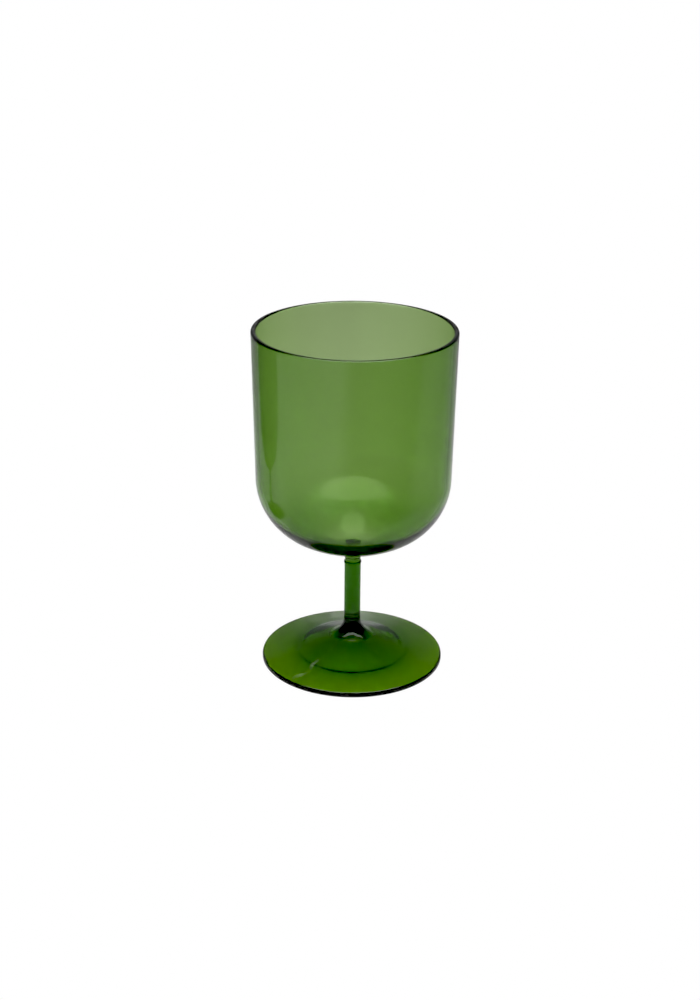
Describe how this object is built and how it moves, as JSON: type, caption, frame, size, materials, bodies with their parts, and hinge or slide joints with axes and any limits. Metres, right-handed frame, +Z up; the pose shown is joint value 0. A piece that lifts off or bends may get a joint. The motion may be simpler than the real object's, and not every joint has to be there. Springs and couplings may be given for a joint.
{
  "type": "stemmed wine glass",
  "caption": "Free-standing stemmed drinking glass in coloured glass: straight-sided round-bottomed bowl, short thin stem and wide coned foot.",
  "frame": {"origin": "centre of the foot, on the plane the glass stands on", "axes": "+Z up along the stem and through the centre of the mouth; X and Y are any two horizontal directions, because the glass is round"},
  "size_m": [0.08, 0.08, 0.14],
  "materials": {
    "bowl_glass": "clear green glass, fire-polished",
    "weld_glass": "clear green glass, flame-sealed bead",
    "stem_glass": "clear deep green glass, drawn rod",
    "foot_glass": "clear deep green glass, pressed and fire-polished"
  },
  "bodies": {
    "root": {"bowl": "bowl_glass", "neck_weld": "weld_glass", "stem": "stem_glass", "foot_weld": "stem_glass", "foot": "foot_glass"}
  },
  "joints": []
}
